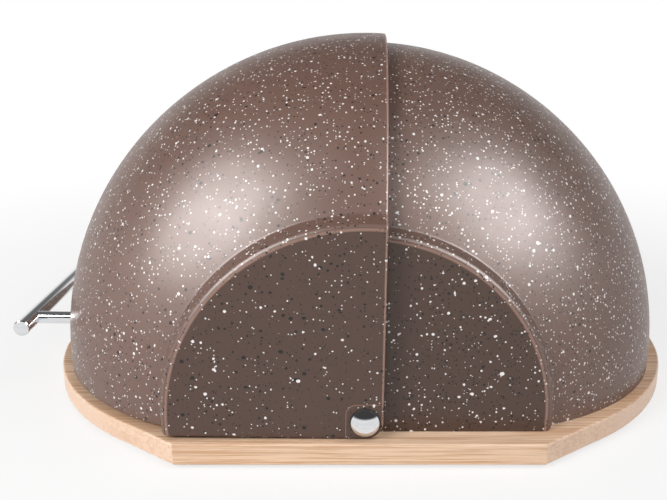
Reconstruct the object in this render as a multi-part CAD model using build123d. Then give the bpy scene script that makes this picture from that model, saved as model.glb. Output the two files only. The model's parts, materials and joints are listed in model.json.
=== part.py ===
from build123d import *
import math
import os

# A domed bread box on a bamboo board. A rear shell is screwed to the board, and a slightly
# larger lid turns over it about two polished posts, one through each flat side panel.
# Millimetres, +Z up, +X to the right, the handle side is -X, the near side is -Y.
# Everything is drawn about the pivot axis, which runs along Y through (0, 0, 0), and is
# moved at the end so that the origin is at the bottom centre of the whole object.

# Lid, the outer cover
lid_radius = 180.0
lid_half_width = 141.0
lid_panel_radius = 99.9
lid_panel_step = 9.9
lid_panel_draft = 3.1
lid_wall = 2.6
lid_seam_reach = 9.0
lid_rest_angle = 1.0
lid_rim_gap = 0.3

# Rear shell, nested inside the lid
nest_gap = 2.65
side_gap = 5.8
panel_nest = 6.9
shell_panel_step = 7.0
shell_panel_draft = 2.8
shell_wall = 2.5
shell_edge_reach = 8.0
shell_corner_radius = 3.0

# Form and edges shared by both covers
dome_fullness = 2.35
panel_edge_fillet = 3.2
panel_valley_fillet = 1.8
seam_edge_round = 0.8
dome_points = 8

# Raised pad round each pivot hole of the lid
pad_reach = 9.5
pad_height = 9.3
pad_corner = 5.0
pad_rise = 0.4
pad_root = 1.0
pad_edge_margin = 0.4

# Board
board_thickness = 11.6
board_end_margin = 9.0
board_side_margin = 4.6
board_end_radius = 150.0
board_facet_start = 56.5
board_facet_angle = 37.0
board_edge_round = 1.2
pivot_rise = 9.6

# Feet under the board
foot_radius = 7.0
foot_height = 2.0
foot_edge = 0.5
foot_inset_x = 62.0
foot_inset_y = 42.0

# Pivot post with its domed head, seal, spacer, washer and screw
post_head_radius = 7.0
post_head_rise = 3.3
post_head_rim = 0.5
post_shank_radius = 4.0
post_bore_radius = 2.5
post_bore_depth = 9.0
seal_radius = 7.5
seal_thickness = 0.6
spacer_radius = 6.5
pivot_washer_radius = 6.5
pivot_washer_thickness = 1.2
pivot_screw_head_radius = 4.6
pivot_screw_head_height = 3.0
pivot_screw_length = 8.0
clamp_gap = 0.3

# Handle
handle_height = 16.2
handle_standoff = 22.0
bar_radius = 4.65
bar_overhang = 18.5
bar_end_chamfer = 0.4
handle_post_spacing = 96.0
handle_post_radius = 3.6
spigot_radius = 2.6
handle_boss_radius = 7.0
handle_boss_stand = 0.8
handle_washer_radius = 6.0
handle_washer_thickness = 1.0
handle_screw_radius = 2.0
handle_screw_head_radius = 4.0
handle_screw_head_height = 2.4
handle_screw_grip = 11.0

# Screws that hold the rear shell to the board
boss_radius = 5.0
boss_height = 14.0
side_boss_bite = 0.8
back_boss_bite = 1.4
side_screw_front_x = 30.0
side_screw_rear_inset = 19.0
back_screw_offset = 45.0
shell_screw_radius = 1.75
shell_screw_head_radius = 3.4
shell_screw_head_height = 2.4
shell_screw_engagement = 11.0
counterbore_depth = 4.4
counterbore_clearance = 0.8

# Clearances
running_clearance = 0.05
face_clearance = 0.12
screw_clearance = 0.05
screw_hole_clearance = 0.3

# Allowances for cuts and for finding edges
cut_overrun = 1.0
edge_tolerance = 0.01
dome_tolerance = 0.1
step_tolerance = 1.5
shortest_edge = 0.5
edge_fillet_share = 0.45

# Derived sizes
shell_radius = lid_radius - lid_wall - nest_gap
shell_half_width = lid_half_width - lid_wall - side_gap
shell_panel_radius = lid_panel_radius - panel_nest
board_half_length = (lid_radius + shell_radius) / 2 + board_end_margin
board_centre_x = (shell_radius - lid_radius) / 2
board_half_depth = lid_half_width + board_side_margin
board_top = -pivot_rise
board_bottom = board_top - board_thickness
floor_level = board_bottom - foot_height
lid_rim_level = board_top + lid_rim_gap
lid_inner_face = lid_half_width - lid_wall
shell_inner_face = shell_half_width - shell_wall
pivot_hole_radius = post_shank_radius + running_clearance
far = 2 * lid_radius


def rod_x(radius, x_from, x_to, y, z):
    """Round bar along X."""
    middle = (x_from + x_to) / 2
    return Pos(middle, y, z) * Rot(0, 90, 0) * Cylinder(radius, abs(x_to - x_from))


def rod_y(radius, y_from, y_to, x=0.0, z=0.0):
    """Round bar along Y."""
    middle = (y_from + y_to) / 2
    return Pos(x, middle, z) * Rot(90, 0, 0) * Cylinder(radius, abs(y_to - y_from))


def rod_z(radius, x, y, z_from, z_to):
    """Round bar along Z."""
    middle = (z_from + z_to) / 2
    return Pos(x, y, middle) * Cylinder(radius, abs(z_to - z_from))


def both_sides(shape):
    """A front shape with its mirror image at the back."""
    return [shape, mirror(shape, about=Plane.XZ)]


def round_corners(section, radius, reach, amount):
    """Round both corners of a section that lie at one radius and one distance from its middle."""
    corners = [v for v in section.vertices() if abs(v.X - radius) < edge_tolerance]
    return fillet([v for v in corners if abs(abs(v.Y) - reach) < edge_tolerance], amount)


class Dome:
    """A form turned about the pivot axis: a full dome between two flat round side panels."""

    def __init__(self, radius, half_width, panel_radius, step, draft):
        self.radius = radius
        self.half_width = half_width
        self.panel_radius = panel_radius
        self.valley_width = half_width - step
        self.valley_radius = panel_radius + draft
        share = 1 - (self.valley_radius / radius) ** dome_fullness
        self.reach = self.valley_width / share ** (1 / dome_fullness)

    def radius_at(self, y):
        """Radius of the dome at a distance y from its middle."""
        share = 1 - (abs(y) / self.reach) ** dome_fullness
        return self.radius * share ** (1 / dome_fullness)

    def step_radius_at(self, y):
        """Radius of the sloping step between the dome and a side panel."""
        share = (self.half_width - abs(y)) / (self.half_width - self.valley_width)
        return self.panel_radius + share * (self.valley_radius - self.panel_radius)

    def curve_points(self):
        """Points along the dome from one valley to the other, closer where it bends more."""
        limit = math.asin((self.valley_width / self.reach) ** (dome_fullness / 2))
        points = []
        for i in range(-dome_points, dome_points + 1):
            turn = limit * i / dome_points
            y = math.copysign(self.reach * abs(math.sin(turn)) ** (2 / dome_fullness), turn)
            points.append((self.radius * math.cos(turn) ** (2 / dome_fullness), y))
        return points

    def inset(self, wall):
        """The form one wall thickness inside this one."""
        inner = Dome.__new__(Dome)
        inner.radius = self.radius - wall
        inner.half_width = self.half_width - wall
        inner.panel_radius = self.panel_radius - wall
        inner.valley_width = self.valley_width - wall
        inner.reach = self.reach - wall
        inner.valley_radius = inner.radius_at(inner.valley_width)
        return inner

    def solid(self, eased=False):
        """The form as a solid of revolution, with sharp or eased panel edges and valleys."""
        dome = self.curve_points()
        panel = (self.panel_radius, self.half_width)
        top = (0, self.half_width)
        near_panel = (self.panel_radius, -self.half_width)
        bottom = (0, -self.half_width)
        outline = Spline(*dome) + Polyline(dome[-1], panel, top, bottom, near_panel, dome[0])
        section = make_face(outline)
        if eased:
            edge_round = min(panel_edge_fillet, edge_fillet_share * (panel[1] - dome[-1][1]))
            section = round_corners(section, self.panel_radius, self.half_width, edge_round)
            section = round_corners(section, self.valley_radius, self.valley_width,
                                    panel_valley_fillet)
        return revolve(section, Axis.Y, 360)


def kept_region(edge_x, side, bottom, corner):
    """Block that trims a cover at its front edge and its rim, with a rounded lower corner."""
    outline = Polyline((-side * far, bottom), (edge_x, bottom), (edge_x, far),
                       (-side * far, far), close=True)
    face = make_face(outline)
    turn = face.vertices().sort_by_distance((edge_x, bottom))[0]
    return extrude(Plane.XZ * fillet(turn, corner), far / 2, both=True)


def soften_front_edge(shape, form, edge_x):
    """Round the outer corner of the front edge of a cover."""
    chosen = []
    for edge in shape.edges():
        start, point, end = (edge.position_at(share) for share in (0, 0.5, 1))
        if max(abs(p.X - edge_x) for p in (start, point, end)) > edge_tolerance:
            continue
        distance = math.hypot(point.X, point.Z)
        on_panel = abs(abs(point.Y) - form.half_width) < edge_tolerance
        inside_dome = abs(point.Y) < form.valley_width
        on_dome = inside_dome and distance > form.radius_at(point.Y) - dome_tolerance
        on_step = not inside_dome and distance > form.step_radius_at(point.Y) - step_tolerance
        if (on_panel or on_dome or on_step) and edge.length > shortest_edge:
            chosen.append(edge)
    return fillet(chosen, seam_edge_round)


lid_form = Dome(lid_radius, lid_half_width, lid_panel_radius, lid_panel_step, lid_panel_draft)
shell_form = Dome(shell_radius, shell_half_width, shell_panel_radius,
                  shell_panel_step, shell_panel_draft)
lid_cavity = lid_form.inset(lid_wall)
shell_cavity = shell_form.inset(shell_wall)

lid_block = lid_form.solid()
shell_block = shell_form.solid()
lid_outside = lid_form.solid(eased=True)
shell_outside = shell_form.solid(eased=True)

# Handle places, in the closed position of the lid
handle_post_y = handle_post_spacing / 2
lid_face_x = -math.sqrt(lid_form.radius_at(handle_post_y) ** 2 - handle_height ** 2)
bar_x = lid_face_x - handle_standoff
bar_half_length = handle_post_y + bar_overhang
boss_edge_radius = lid_cavity.radius_at(handle_post_y + handle_boss_radius)
boss_edge_height = handle_height + handle_boss_radius
boss_face_x = handle_boss_stand - math.sqrt(boss_edge_radius ** 2 - boss_edge_height ** 2)
washer_face_x = boss_face_x + handle_washer_thickness

# Places of the screws under the rear shell
side_screw_y = shell_inner_face - boss_radius + side_boss_bite
back_wall_x = math.sqrt(shell_cavity.radius_at(back_screw_offset) ** 2 - pivot_rise ** 2)
shell_screw_places = [
    (side_screw_front_x, side_screw_y),
    (shell_panel_radius - side_screw_rear_inset, side_screw_y),
    (back_wall_x - boss_radius + back_boss_bite, back_screw_offset),
]
shell_screw_places += [(x, -y) for x, y in shell_screw_places]


def make_board():
    """Board with straight long edges, cut corners and rounded ends."""
    start = math.radians(board_facet_start)
    arc_centre = board_half_length - board_end_radius
    facet_x = arc_centre + board_end_radius * math.cos(start)
    facet_y = board_end_radius * math.sin(start)
    front_x = facet_x - (board_half_depth - facet_y) / math.tan(math.radians(board_facet_angle))
    right_end = ThreePointArc((facet_x, -facet_y), (board_half_length, 0), (facet_x, facet_y))
    left_end = ThreePointArc((-facet_x, facet_y), (-board_half_length, 0), (-facet_x, -facet_y))
    back = Polyline((facet_x, facet_y), (front_x, board_half_depth),
                    (-front_x, board_half_depth), (-facet_x, facet_y))
    front = Polyline((-facet_x, -facet_y), (-front_x, -board_half_depth),
                     (front_x, -board_half_depth), (facet_x, -facet_y))
    plan = make_face(right_end + back + left_end + front)
    board = Pos(board_centre_x, 0, board_bottom) * extrude(plan, board_thickness)
    rims = board.edges().group_by(Axis.Z)
    board = fillet(rims[0] + rims[-1], board_edge_round)
    for x, y in shell_screw_places:
        board -= rod_z(shell_screw_radius + screw_hole_clearance, x, y, board_bottom, board_top)
        head_hole = shell_screw_head_radius + counterbore_clearance
        board -= rod_z(head_hole, x, y, board_bottom, board_bottom + counterbore_depth)
    return board


def make_feet():
    """Four round pads under the board."""
    feet = []
    for side_x in (-1, 1):
        for side_y in (-1, 1):
            x = board_centre_x + side_x * (board_half_length - foot_inset_x)
            y = side_y * (board_half_depth - foot_inset_y)
            foot = rod_z(foot_radius, x, y, floor_level, board_bottom)
            feet.append(chamfer(foot.edges().group_by(Axis.Z)[0], foot_edge))
    return feet


def make_shell():
    """Fixed rear cover with its screw bosses."""
    shell = shell_outside - shell_cavity.solid()
    shell &= kept_region(-shell_edge_reach, -1, board_top, shell_corner_radius)
    for x, y in shell_screw_places:
        boss = rod_z(boss_radius, x, y, board_top, board_top + boss_height)
        shell += boss & shell_block
        pilot_top = board_top + shell_screw_engagement + cut_overrun
        shell -= rod_z(shell_screw_radius + screw_clearance, x, y, board_top, pilot_top)
    return shell - rod_y(pivot_hole_radius, -lid_half_width, lid_half_width)


def make_shell_screws():
    """Screws from under the board into the bosses of the rear shell."""
    seat = board_bottom + counterbore_depth
    screws = []
    for x, y in shell_screw_places:
        shank = rod_z(shell_screw_radius, x, y, seat, board_top + shell_screw_engagement)
        head = rod_z(shell_screw_head_radius, x, y, seat - shell_screw_head_height, seat)
        screws.append(shank + head)
    return screws


def make_lid():
    """Turning cover in its closed position."""
    trim = kept_region(lid_seam_reach, 1, lid_rim_level, lid_seam_reach)
    lid = (lid_outside - lid_cavity.solid()) & trim
    pad_outline = Polyline((-pad_reach, -far), (-pad_reach, pad_height),
                           (far, pad_height), (far, -far), close=True)
    pad_face = make_face(pad_outline)
    turn = pad_face.vertices().sort_by_distance((-pad_reach, pad_height))[0]
    half_thickness = (pad_rise + pad_root) / 2
    pad = extrude(Plane.XZ * fillet(turn, pad_corner), half_thickness, both=True)
    inset = seam_edge_round + pad_edge_margin
    pad_limit = kept_region(lid_seam_reach - inset, 1, lid_rim_level + inset,
                            lid_seam_reach - inset)
    for side in (-1, 1):
        middle = side * (lid_half_width + pad_rise - half_thickness)
        lid += Pos(0, middle, 0) * pad & pad_limit
    lid = soften_front_edge(lid, lid_form, lid_seam_reach)
    for side in (-1, 1):
        y = side * handle_post_y
        boss = rod_x(handle_boss_radius, -lid_radius, boss_face_x, y, handle_height)
        lid += boss & lid_block
        screw_hole = handle_screw_radius + screw_hole_clearance
        lid -= rod_x(screw_hole, -lid_radius, boss_face_x + cut_overrun, y, handle_height)
    reach = lid_half_width + pad_rise + cut_overrun
    return lid - rod_y(pivot_hole_radius, -reach, reach)


def make_handle_bar():
    """Round bar with a blind cross hole for each post."""
    bar = rod_y(bar_radius, -bar_half_length, bar_half_length, bar_x, handle_height)
    ends = bar.edges().filter_by(GeomType.CIRCLE)
    bar = chamfer(ends, bar_end_chamfer)
    for y in (-handle_post_y, handle_post_y):
        hole = spigot_radius + screw_clearance
        bar -= rod_x(hole, bar_x - screw_clearance, bar_x + 2 * bar_radius, y, handle_height)
    return bar


def make_handle_post(y):
    """Post from the face of the lid to the bar, threaded for its screw from inside."""
    post = rod_x(handle_post_radius, bar_x, boss_face_x, y, handle_height)
    post -= rod_y(bar_radius, -bar_half_length, bar_half_length, bar_x, handle_height)
    post += rod_x(spigot_radius, bar_x, bar_x + bar_radius + cut_overrun, y, handle_height)
    bore = handle_screw_radius + screw_clearance
    bore_end = lid_face_x - handle_screw_grip - cut_overrun
    post -= rod_x(bore, bore_end, boss_face_x + cut_overrun, y, handle_height)
    block = Box(handle_standoff, handle_standoff, handle_standoff)
    return post - (lid_block & Pos(lid_face_x, y, handle_height) * block)


def make_handle_screw(y):
    """Pan-head screw from inside the lid into a post."""
    tip = lid_face_x - handle_screw_grip
    shank = rod_x(handle_screw_radius, tip, washer_face_x, y, handle_height)
    head_end = washer_face_x + handle_screw_head_height
    return shank + rod_x(handle_screw_head_radius, washer_face_x, head_end, y, handle_height)


def make_handle_washer(y):
    """Washer between the screw head and the boss inside the lid."""
    washer = rod_x(handle_washer_radius, boss_face_x, washer_face_x, y, handle_height)
    hole = handle_screw_radius + screw_hole_clearance
    far_face_x = washer_face_x + cut_overrun
    return washer - rod_x(hole, boss_face_x - cut_overrun, far_face_x, y, handle_height)


# Faces along one pivot, measured out from the middle of the box
seal_face = lid_half_width + pad_rise + face_clearance
head_face = seal_face + seal_thickness
shank_end = shell_inner_face + clamp_gap


def make_pivot_post():
    """Front post: a domed head on a shank that is threaded from its inner end."""
    rim = head_face + post_head_rim
    crown = head_face + post_head_rise
    profile = Polyline((0, crown), (0, head_face), (post_head_radius, head_face),
                       (post_head_radius, rim))
    sphere_drop = crown - rim
    dome_radius = (post_head_radius ** 2 + sphere_drop ** 2) / (2 * sphere_drop)
    middle_x = post_head_radius / 2
    middle_y = crown - dome_radius + math.sqrt(dome_radius ** 2 - middle_x ** 2)
    arc = ThreePointArc((post_head_radius, rim), (middle_x, middle_y), (0, crown))
    head = mirror(revolve(make_face(profile + arc), Axis.Y, 360), about=Plane.XZ)
    post = head + rod_y(post_shank_radius, -head_face, -shank_end)
    bore = post_bore_radius + screw_clearance
    return post - rod_y(bore, -shank_end - post_bore_depth, -shank_end)


def make_ring(outer, inner, y_from, y_to):
    """Flat ring on the front pivot."""
    hole = rod_y(inner, -y_from - cut_overrun, -y_to + cut_overrun)
    return rod_y(outer, -y_from, -y_to) - hole


def make_pivot_screw():
    """Screw from inside the box that draws the front post against the shell."""
    washer_face = shell_inner_face - pivot_washer_thickness
    tip = washer_face + pivot_screw_length
    shank = rod_y(post_bore_radius, -tip, -washer_face)
    head_end = washer_face - pivot_screw_head_height
    return shank + rod_y(pivot_screw_head_radius, -washer_face, -head_end)


def make_pivot():
    """The pieces of the front pivot by name."""
    spacer_end = lid_inner_face - face_clearance
    washer_bore = post_bore_radius + screw_hole_clearance
    return {
        "pivot_post": make_pivot_post(),
        "pivot_seal": make_ring(seal_radius, pivot_hole_radius, head_face, seal_face),
        "pivot_spacer": make_ring(spacer_radius, pivot_hole_radius, spacer_end, shell_half_width),
        "pivot_washer": make_ring(pivot_washer_radius, washer_bore, shell_inner_face,
                                  shell_inner_face - pivot_washer_thickness),
        "pivot_screw": make_pivot_screw(),
    }


def make_lid_pieces():
    """Every piece that turns with the lid, in the closed position."""
    sides = {"front": -handle_post_y, "back": handle_post_y}
    pieces = {"lid": make_lid(), "handle_bar": make_handle_bar()}
    for side, y in sides.items():
        pieces["handle_post_" + side] = make_handle_post(y)
    pieces["handle_screws"] = [make_handle_screw(y) for y in sides.values()]
    pieces["handle_washers"] = [make_handle_washer(y) for y in sides.values()]
    return pieces


def make_base_pieces():
    """Every piece that stays with the board."""
    pieces = {
        "base_board": make_board(),
        "rubber_feet": make_feet(),
        "rear_shell": make_shell(),
        "shell_screws": make_shell_screws(),
    }
    for name, front in make_pivot().items():
        near, distant = both_sides(front)
        pieces[name + "_front"] = near
        pieces[name + "_back"] = distant
    return pieces


# The whole object's reach in X sets the origin
rest_turn = math.radians(lid_rest_angle)
bar_rest_x = bar_x * math.cos(rest_turn) + handle_height * math.sin(rest_turn)
left_reach = bar_rest_x - bar_radius
right_reach = board_centre_x + board_half_length
to_origin = Pos(-(left_reach + right_reach) / 2, 0, -floor_level)
lid_turn = Rot(0, lid_rest_angle, 0)


def write_piece(name, shape, place):
    """Write one node, a solid or a group of equal solids."""
    shapes = shape if isinstance(shape, list) else [shape]
    solids = [place * solid for item in shapes for solid in item.solids()]
    body = solids[0] if len(solids) == 1 else Compound(children=solids)
    export_step(body, "parts/" + name + ".step")


def write_all():
    os.makedirs("parts", exist_ok=True)
    for name, shape in make_base_pieces().items():
        write_piece(name, shape, to_origin)
    for name, shape in make_lid_pieces().items():
        write_piece(name, shape, to_origin * lid_turn)


write_all()
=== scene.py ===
import json
import math

import bpy
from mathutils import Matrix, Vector

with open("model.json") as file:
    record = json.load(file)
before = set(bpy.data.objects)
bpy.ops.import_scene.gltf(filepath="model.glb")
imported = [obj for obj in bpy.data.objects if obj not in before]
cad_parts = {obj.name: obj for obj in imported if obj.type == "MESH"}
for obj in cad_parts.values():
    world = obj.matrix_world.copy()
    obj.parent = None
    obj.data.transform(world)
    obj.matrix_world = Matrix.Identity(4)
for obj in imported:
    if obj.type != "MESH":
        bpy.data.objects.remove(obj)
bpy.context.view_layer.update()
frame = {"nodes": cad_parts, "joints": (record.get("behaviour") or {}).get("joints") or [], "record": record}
scene = bpy.context.scene
nodes = frame["nodes"]

# Pivot axis of the lid
PIVOT = Vector(frame["joints"][0]["pos_m"])

# Covers in metres from the pivot: radius and half width of the side panels, the lid's front
# edge in its closed position, its angle at rest, and its pad at each pivot
LID_PANEL_RADIUS, LID_HALF_WIDTH = 0.0985, 0.141
SHELL_PANEL_RADIUS, SHELL_HALF_WIDTH = 0.0915, 0.1326
LID_SEAM = 0.009
LID_REST_ANGLE = math.radians(1.0)
PAD_LEFT, PAD_TOP, PAD_CORNER = -0.0095, 0.0093, 0.005

# Specks: pitch, smallest and largest radius, stretch and turn of the pattern in each layer
SPECK_LAYERS = (
    (0.0015, 0.00027, 0.00056, (1.0, 1.0, 1.0), (0.0, 0.0, 0.0)),
    (0.0022, 0.00036, 0.00084, (1.0, 1.0, 1.0), (0.3, 0.8, 0.2)),
    (0.0030, 0.00030, 0.00100, (0.8, 1.0, 0.9), (0.4, 0.7, 0.9)),
)
SPECK_SKEW = 2.5
SPECK_SOFTNESS = 0.0001
SPECK_WOBBLE = 0.0006
WHITE_SHIFT = (3.1, 1.7, 0.4)
BLACK_SHIFT = (0.7, 4.2, 2.6)

# Bamboo: width of the strips on top, height of the layers in the edges
STRIP_WIDTH = 0.0165
LAYER_HEIGHT = 0.0039

# Floor: half its length, and the white share seen close to the object and away from it
FLOOR_REACH = 12.0
NEAR_WHITE, FAR_WHITE = 0.72, 1.0
NEAR_REACH, FAR_REACH = 0.15, 0.7

# Camera, at the photograph's place
PHOTO_WIDTH = 667
FOCAL_PX = 849.65
CENTRE_PX = 365.1
PITCH = math.radians(16.46)
CAMERA_FROM_PIVOT = Vector((0.0, -0.51705, 0.19932))


# Shader helpers

class Tree:
    """Short names for building the node tree of a material or a world."""

    def __init__(self, owner, output="ShaderNodeOutputMaterial"):
        owner.use_nodes = True
        self.owner = owner
        self.tree = owner.node_tree
        self.tree.nodes.clear()
        self.out = self.add(output)

    def add(self, kind, **settings):
        node = self.tree.nodes.new(kind)
        for key, value in settings.items():
            setattr(node, key, value)
        return node

    def put(self, socket, value):
        """A number, a colour or another node's output goes into a socket."""
        if isinstance(value, bpy.types.NodeSocket):
            self.tree.links.new(value, socket)
        else:
            socket.default_value = value

    def place(self):
        return self.add("ShaderNodeTexCoord").outputs["Object"]

    def scaled(self, vector, scale, turn=(0, 0, 0), shift=(0, 0, 0)):
        node = self.add("ShaderNodeMapping")
        self.put(node.inputs["Vector"], vector)
        self.put(node.inputs["Scale"], scale)
        self.put(node.inputs["Rotation"], turn)
        self.put(node.inputs["Location"], shift)
        return node.outputs["Vector"]

    def noise(self, vector, scale, detail=2.0, rough=0.5, distortion=0.0, colour=False):
        node = self.add("ShaderNodeTexNoise")
        self.put(node.inputs["Vector"], vector)
        self.put(node.inputs["Scale"], scale)
        self.put(node.inputs["Detail"], detail)
        self.put(node.inputs["Roughness"], rough)
        self.put(node.inputs["Distortion"], distortion)
        return node.outputs["Color" if colour else "Fac"]

    def cells(self, vector, scale):
        """Distance to the nearest random point, and that point's own random colour."""
        node = self.add("ShaderNodeTexVoronoi", feature="F1")
        self.put(node.inputs["Vector"], vector)
        self.put(node.inputs["Scale"], scale)
        return node.outputs["Distance"], node.outputs["Color"]

    def math(self, kind, *values):
        node = self.add("ShaderNodeMath", operation=kind)
        for socket, value in zip(node.inputs, values):
            self.put(socket, value)
        return node.outputs[0]

    def length(self, a, b):
        squares = (self.math("MULTIPLY", value, value) for value in (a, b))
        return self.math("SQRT", self.math("ADD", *squares))

    def ramp(self, value, low, high, start=0.0, end=1.0):
        """A smooth step of value from low to high."""
        node = self.add("ShaderNodeMapRange", interpolation_type="SMOOTHSTEP")
        for name, number in (("Value", value), ("From Min", low), ("From Max", high),
                             ("To Min", start), ("To Max", end)):
            self.put(node.inputs[name], number)
        return node.outputs["Result"]

    def mix(self, share, a, b):
        node = self.add("ShaderNodeMix", data_type="RGBA")
        self.put(node.inputs["Factor"], share)
        self.put(node.inputs[6], a)
        self.put(node.inputs[7], b)
        return node.outputs[2]

    def parts(self, vector):
        node = self.add("ShaderNodeSeparateXYZ")
        self.put(node.inputs[0], vector)
        return node.outputs

    def bump(self, height, depth, strength, normal=None):
        node = self.add("ShaderNodeBump")
        self.put(node.inputs["Height"], height)
        self.put(node.inputs["Distance"], depth)
        self.put(node.inputs["Strength"], strength)
        if normal is not None:
            self.put(node.inputs["Normal"], normal)
        return node.outputs["Normal"]

    def finish(self, shader):
        """The shader's output becomes the surface."""
        self.put(self.out.inputs["Surface"], shader.outputs[0])
        return self.owner

    def surface(self, **inputs):
        node = self.add("ShaderNodeBsdfPrincipled")
        for name, value in inputs.items():
            self.put(node.inputs[name.replace("_", " ")], value)
        return self.finish(node)


def material_tree(name):
    return Tree(bpy.data.materials.new(name))


def rgb(red, green, blue):
    """A colour as a photograph's 0 to 255 values, turned into linear light."""
    linear = []
    for level in (red, green, blue):
        share = level / 255
        linear.append(share / 12.92 if share < 0.04045 else ((share + 0.055) / 1.055) ** 2.4)
    return (*linear, 1.0)


def dimmed(colour, share):
    """A linear colour at a share of its light."""
    return (*(level * share for level in colour[:3]), 1.0)


# Speckled plastic of both covers

def specks(t, place, layer, share, shift):
    """Mask of scattered specks of one layer, of which the share is kept."""
    pitch, low, high, stretch, turn = layer
    distance, colour = t.cells(t.scaled(place, stretch, turn, shift), 1 / pitch)
    random = t.parts(colour)
    kept = t.math("LESS_THAN", random[0], share)
    skewed = t.math("POWER", random[1], SPECK_SKEW)
    radius = t.math("MULTIPLY_ADD", skewed, (high - low) / pitch, low / pitch)
    edge = t.math("SUBTRACT", radius, distance)
    soft = SPECK_SOFTNESS / pitch
    return t.math("MULTIPLY", t.ramp(edge, -soft, soft), kept)


def pattern(t, place, on_panel, shares, shift):
    """Mask of every layer of specks, each with its shares on the dome and on the panels."""
    mask = 0.0
    for layer, (dome, panel) in zip(SPECK_LAYERS, shares):
        share = t.math("MULTIPLY_ADD", on_panel, panel - dome, dome)
        mask = t.math("MAXIMUM", mask, specks(t, place, layer, share, shift))
    return mask


def pad_outline(t, x, z):
    """Distance to the outline of the lid's pad, whose upper left corner is rounded."""
    right = t.math("SUBTRACT", PAD_LEFT + PAD_CORNER, x)
    down = t.math("SUBTRACT", z, PAD_TOP - PAD_CORNER)
    outer = t.length(t.math("MAXIMUM", right, 0.0), t.math("MAXIMUM", down, 0.0))
    inner = t.math("MINIMUM", t.math("MAXIMUM", right, down), 0.0)
    return t.math("ABSOLUTE", t.math("SUBTRACT", t.math("ADD", outer, inner), PAD_CORNER))


def panel_rim_highlight(t, width, radius, panel_radius, half_width):
    """Mask of the painted highlight along the rim of each side panel."""
    rim = t.math("ABSOLUTE", t.math("SUBTRACT", radius, panel_radius - 0.0006))
    near_face = t.ramp(width, half_width - 0.0040, half_width - 0.0020)
    return t.math("MULTIPLY", t.ramp(rim, 0.0011, 0.0003, 0.0, 0.8), near_face)


def lid_edge_highlight(t, x, z, width):
    """Mask of the painted highlight along the lid's front edge and of the fine painted highlight line round
    each pad.
    """
    closed_x = t.math("SUBTRACT", x, t.math("MULTIPLY", z, LID_REST_ANGLE))
    front_highlight = t.ramp(closed_x, LID_SEAM - 0.0013, LID_SEAM - 0.0007)
    pad_highlight = t.ramp(pad_outline(t, closed_x, z), 0.0004, 0.00015)
    on_face = t.math("GREATER_THAN", width, LID_HALF_WIDTH - 0.0008)
    pad_highlight = t.math("MULTIPLY", pad_highlight, t.math("MULTIPLY", on_face, 0.55))
    return t.math("MAXIMUM", front_highlight, pad_highlight)


def speckled_plastic(name, panel_radius, half_width, white, black, dome_tone, panel_tone,
                     is_lid=False):
    """Satin brown plastic with cast-in specks: white and black hold a share on the dome and a
    share on the flat side panels for each layer."""
    t = material_tree(name)
    place = t.place()
    x, y, z = t.parts(t.scaled(place, (1, 1, 1), shift=tuple(-PIVOT)))
    radius = t.length(x, z)
    width = t.math("ABSOLUTE", y)
    outward = t.ramp(width, half_width - 0.0022, half_width - 0.0012)
    on_panel = t.math("MULTIPLY", outward, t.ramp(radius, panel_radius + 0.001, panel_radius))
    painted_highlights = panel_rim_highlight(t, width, radius, panel_radius, half_width)
    if is_lid:
        painted_highlights = t.math("MAXIMUM", painted_highlights, lid_edge_highlight(t, x, z, width))

    wobble = t.add("ShaderNodeVectorMath", operation="MULTIPLY_ADD")
    t.put(wobble.inputs[0], t.noise(place, 1100.0, 1.0, colour=True))
    t.put(wobble.inputs[1], (SPECK_WOBBLE, SPECK_WOBBLE, SPECK_WOBBLE))
    t.put(wobble.inputs[2], place)
    loose = wobble.outputs[0]

    shade = t.ramp(t.noise(place, 14.0, 3.0), 0.3, 0.7)
    base = t.mix(shade, rgb(*(c - 3 for c in dome_tone)), rgb(*(c + 3 for c in dome_tone)))
    base = t.mix(on_panel, base, rgb(*panel_tone))
    # Painted highlight: a light pink tone along the panel rims, the lid's front edge and round its pads
    base = t.mix(t.math("MULTIPLY", painted_highlights, 0.6), base, rgb(186, 146, 130))
    dark = t.math("MULTIPLY", pattern(t, loose, on_panel, black, BLACK_SHIFT), 0.97)
    colour = t.mix(dark, base, rgb(6, 5, 6))
    light = t.math("MULTIPLY", pattern(t, loose, on_panel, white, WHITE_SHIFT), 0.95)
    colour = t.mix(light, colour, rgb(246, 241, 239))

    normal = t.bump(t.noise(place, 1500.0, 2.0), 0.00005, 0.4)
    normal = t.bump(t.noise(place, 90.0, 2.0), 0.0002, 0.15, normal)
    rough = t.ramp(t.noise(place, 60.0, 3.0), 0.3, 0.7, 0.37, 0.42)
    return t.surface(Base_Color=colour, Roughness=rough, Normal=normal, IOR=1.5,
                     Specular_IOR_Level=0.5)


# Bamboo, metals, nylon and rubber

def strip_tone(t, x, y, z):
    """A random number for each strip of the board, different in each layer."""
    strips = t.math("FLOOR", t.math("MULTIPLY", y, 1 / STRIP_WIDTH))
    layers = t.math("FLOOR", t.math("MULTIPLY", z, 1 / LAYER_HEIGHT))
    offset = t.math("MULTIPLY_ADD", layers, 0.61, t.math("MULTIPLY", strips, 0.37))
    cell = t.add("ShaderNodeCombineXYZ")
    t.put(cell.inputs[0], t.math("FLOOR", t.math("MULTIPLY_ADD", x, 3.1, offset)))
    t.put(cell.inputs[1], strips)
    t.put(cell.inputs[2], layers)
    tone = t.add("ShaderNodeTexWhiteNoise", noise_dimensions="3D")
    t.put(tone.inputs["Vector"], cell.outputs[0])
    return tone.outputs["Value"]


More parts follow.
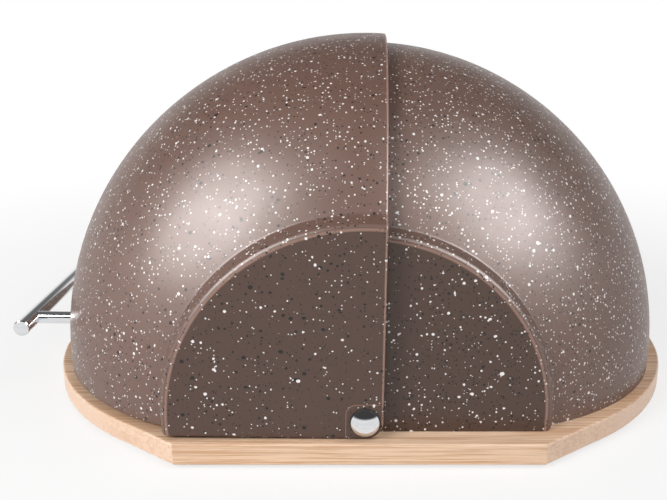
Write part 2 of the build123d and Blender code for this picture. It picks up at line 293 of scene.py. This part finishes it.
def bamboo():
    """Pale laminated bamboo: streaks along X, strips on top, layers in the front edge."""
    t = material_tree("bamboo")
    place = t.place()
    x, y, z = t.parts(place)
    streak = t.noise(t.scaled(place, (14.0, 600.0, 800.0)), 1.0, 4.0, 0.6, 0.15)
    fibre = t.noise(t.scaled(place, (40.0, 2000.0, 2400.0)), 1.0, 3.0, 0.7)
    line = t.math("FRACT", t.math("MULTIPLY", z, 1 / LAYER_HEIGHT))
    line = t.math("ABSOLUTE", t.math("SUBTRACT", line, 0.5))
    turned = t.parts(t.add("ShaderNodeTexCoord").outputs["Normal"])
    facing = t.math("ABSOLUTE", turned[0])

    colour = t.mix(t.ramp(strip_tone(t, x, y, z), 0.0, 1.0), rgb(227, 189, 155),
                   rgb(238, 206, 176))
    colour = t.mix(t.ramp(streak, 0.44, 0.62, 0.0, 0.85), colour, rgb(205, 158, 120))
    colour = t.mix(t.ramp(fibre, 0.48, 0.7, 0.0, 0.6), colour, rgb(194, 146, 108))
    colour = t.mix(t.ramp(line, 0.455, 0.495, 0.0, 0.35), colour, rgb(178, 134, 102))
    colour = t.mix(t.ramp(facing, 0.35, 0.75, 0.0, 0.7), colour, rgb(237, 208, 186))
    normal = t.bump(t.math("MULTIPLY_ADD", fibre, 0.6, streak), 0.00015, 0.35)
    rough = t.ramp(streak, 0.3, 0.7, 0.42, 0.56)
    return t.surface(Base_Color=colour, Roughness=rough, Normal=normal, IOR=1.5)


def metal(name, colour, low, high, streak_scale):
    """Bare metal with faint polishing marks."""
    t = material_tree(name)
    marks = t.noise(t.scaled(t.place(), streak_scale), 1.0, 3.0, 0.6)
    tint = t.mix(t.ramp(marks, 0.35, 0.65), colour, dimmed(colour, 0.93))
    rough = t.ramp(marks, 0.3, 0.7, low, high)
    normal = t.bump(marks, 0.00002, 0.15)
    return t.surface(Base_Color=tint, Roughness=rough, Normal=normal, Metallic=1.0)


def moulded(name, colour, low, high, grain):
    """Plain moulded nylon or rubber with a fine grain."""
    t = material_tree(name)
    mark = t.noise(t.place(), grain, 3.0)
    tint = t.mix(t.ramp(mark, 0.3, 0.7), colour, dimmed(colour, 0.8))
    rough = t.ramp(mark, 0.3, 0.7, low, high)
    return t.surface(Base_Color=tint, Roughness=rough, Normal=t.bump(mark, 0.00008, 0.4))


# Each slot's material on its nodes

finishes = {
    "bamboo": bamboo(),
    "lid_plastic": speckled_plastic(
        "lid_plastic", LID_PANEL_RADIUS, LID_HALF_WIDTH,
        white=((0.27, 0.12), (0.11, 0.06), (0.06, 0.06)),
        black=((0.25, 0.42), (0.18, 0.24), (0.16, 0.22)),
        dome_tone=(110, 83, 72), panel_tone=(81, 59, 48), is_lid=True),
    "shell_plastic": speckled_plastic(
        "shell_plastic", SHELL_PANEL_RADIUS, SHELL_HALF_WIDTH,
        white=((0.38, 0.20), (0.17, 0.11), (0.08, 0.10)),
        black=((0.38, 0.42), (0.15, 0.14), (0.06, 0.08)),
        # the shell's panel tone is darker than the lid's: painted shade of the shadow the lid's edge casts
        # on the shell's panels
        dome_tone=(110, 83, 72), panel_tone=(75, 54, 43)),
    "polished_steel": metal("polished_steel", rgb(225, 226, 228), 0.05, 0.09, (60, 900, 900)),
    "plated_steel": metal("plated_steel", rgb(190, 190, 192), 0.22, 0.34, (700, 700, 700)),
    "dark_nylon": moulded("dark_nylon", rgb(45, 42, 40), 0.45, 0.6, 1200.0),
    "pale_nylon": moulded("pale_nylon", rgb(224, 220, 210), 0.35, 0.5, 900.0),
    "foot_rubber": moulded("foot_rubber", rgb(58, 56, 54), 0.6, 0.8, 1500.0),
}
slots = {part["node"]: part["material_slot"] for part in frame["record"]["subparts"]}
for name, node in nodes.items():
    node.data.materials.clear()
    node.data.materials.append(finishes[slots[name]])


# Floor: white to the eye and in reflections, and it keeps the object's shadow

def floor_material():
    t = material_tree("floor")
    place = t.place()
    x, y, _ = t.parts(place)
    shade = t.noise(place, 3.0, 2.0)
    matt = t.add("ShaderNodeBsdfDiffuse")
    t.put(matt.inputs["Color"],
          t.mix(t.ramp(shade, 0.3, 0.7), rgb(246, 246, 246), rgb(250, 250, 250)))
    white = t.add("ShaderNodeEmission")
    path = t.add("ShaderNodeLightPath")
    seen = t.math("MAXIMUM", path.outputs["Is Camera Ray"], path.outputs["Is Glossy Ray"])
    seen = t.math("MAXIMUM", seen, path.outputs["Is Transmission Ray"])
    away = t.ramp(t.length(x, y), NEAR_REACH, FAR_REACH, NEAR_WHITE, FAR_WHITE)
    blend = t.add("ShaderNodeMixShader")
    t.put(blend.inputs[0], t.math("MULTIPLY", seen, away))
    t.put(blend.inputs[1], matt.outputs[0])
    t.put(blend.inputs[2], white.outputs[0])
    return t.finish(blend)


def make_floor():
    mesh = bpy.data.meshes.new("floor")
    corners = [(-1, -1, 0), (1, -1, 0), (1, 1, 0), (-1, 1, 0)]
    corners = [tuple(FLOOR_REACH * value for value in corner) for corner in corners]
    mesh.from_pydata(corners, [], [(0, 1, 2, 3)])
    mesh.materials.append(floor_material())
    floor = bpy.data.objects.new("floor", mesh)
    scene.collection.objects.link(floor)


make_floor()


# World: a studio with a white backdrop behind, a white horizon all round and a dim ceiling

def make_world():
    t = Tree(bpy.data.worlds.new("studio"), "ShaderNodeOutputWorld")
    _, depth, height = t.parts(t.add("ShaderNodeTexCoord").outputs["Generated"])
    backdrop = t.ramp(depth, 0.2, 0.9, 0.0, 0.2)
    ceiling = t.ramp(depth, -0.6, 0.1, 0.06, 0.16)
    level = t.ramp(t.math("SUBTRACT", height, backdrop), 0.03, 0.28, 1.0, ceiling)
    light = t.add("ShaderNodeBackground")
    t.put(light.inputs["Color"], (1, 1, 1, 1))
    t.put(light.inputs["Strength"], level)
    scene.world = t.finish(light)


make_world()


# Lamps

def softbox(name, place, size, power, sheen=None):
    """A square soft lamp for the light, or one for the sheen on a collection's pieces."""
    data = bpy.data.lights.new(name, "AREA")
    data.shape = "RECTANGLE"
    data.size, data.size_y = size, size
    data.energy = power
    lamp = bpy.data.objects.new(name, data)
    lamp.visible_diffuse = sheen is None
    lamp.visible_glossy = sheen is not None
    lamp.light_linking.receiver_collection = sheen
    lamp.location = place
    aim = Vector((0.0, 0.0, 0.09)) - lamp.location
    lamp.rotation_euler = aim.to_track_quat("-Z", "Y").to_euler()
    scene.collection.objects.link(lamp)


with_sheen = bpy.data.collections.new("with_sheen")
for name, node in nodes.items():
    if not name.startswith("pivot_post"):
        with_sheen.objects.link(node)
softbox("left_sheen", (-1.00, -0.70, 0.80), 0.9, 44.0, with_sheen)
softbox("right_sheen", (0.96, -0.70, 0.85), 0.9, 44.0, with_sheen)
softbox("key", (-0.90, -0.80, 0.80), 0.6, 13.5)
softbox("fill", (0.85, -0.55, 1.15), 0.9, 8.0)


# Camera

def make_camera():
    data = bpy.data.cameras.new("camera")
    data.sensor_fit = "HORIZONTAL"
    data.sensor_width = 36.0
    data.lens = FOCAL_PX / PHOTO_WIDTH * data.sensor_width
    data.shift_x = (PHOTO_WIDTH / 2 - CENTRE_PX) / PHOTO_WIDTH
    data.clip_start, data.clip_end = 0.02, 50.0
    camera = bpy.data.objects.new("camera", data)
    camera.location = PIVOT + CAMERA_FROM_PIVOT
    camera.rotation_euler = (math.pi / 2 - PITCH, 0.0, 0.0)
    scene.collection.objects.link(camera)
    scene.camera = camera


make_camera()
scene.view_settings.view_transform = "Standard"
